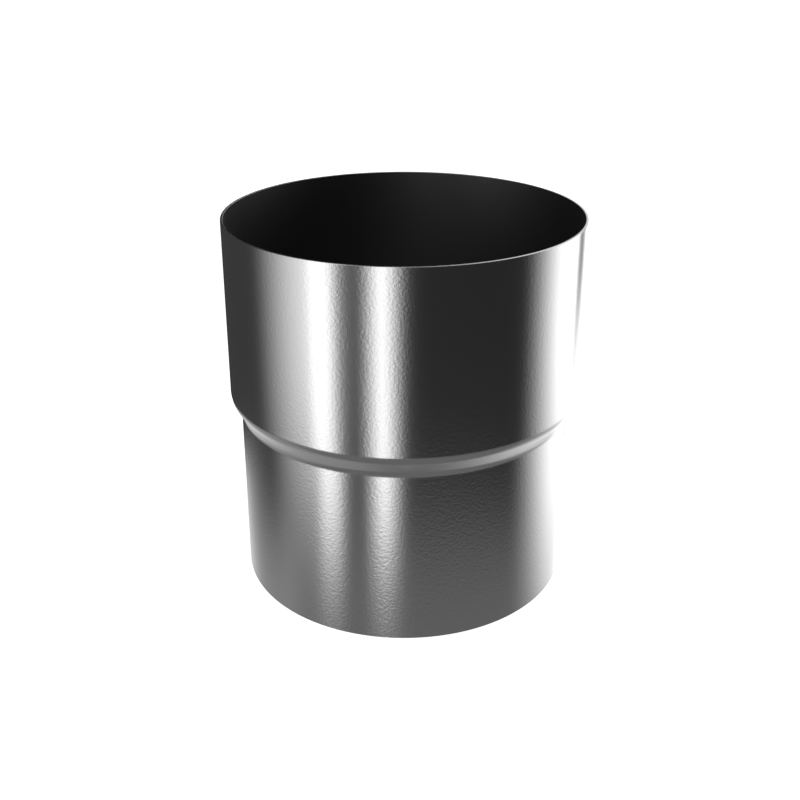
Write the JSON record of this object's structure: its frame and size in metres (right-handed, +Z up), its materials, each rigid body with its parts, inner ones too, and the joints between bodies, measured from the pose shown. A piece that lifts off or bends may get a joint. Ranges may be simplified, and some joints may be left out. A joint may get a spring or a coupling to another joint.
{
  "type": "downpipe connector",
  "caption": "Short round tube of bright sheet steel: a wide socket above a smooth S-shaped shoulder and a narrower spigot, joining two lengths of rainwater downpipe.",
  "frame": {"origin": "centre of the spigot's rim, on the tube's axis, on the surface that the connector stands on", "axes": "+Z up along the tube's axis, from the spigot to the socket; -Y towards the camera of the picture; the weld line is at +Y"},
  "size_m": [0.1018, 0.1018, 0.1075],
  "materials": {
    "bright_steel": "bright satin rolled steel sheet, neutral grey, with a very fine speckle"
  },
  "bodies": {
    "root": {"connector": "bright_steel"}
  },
  "joints": []
}
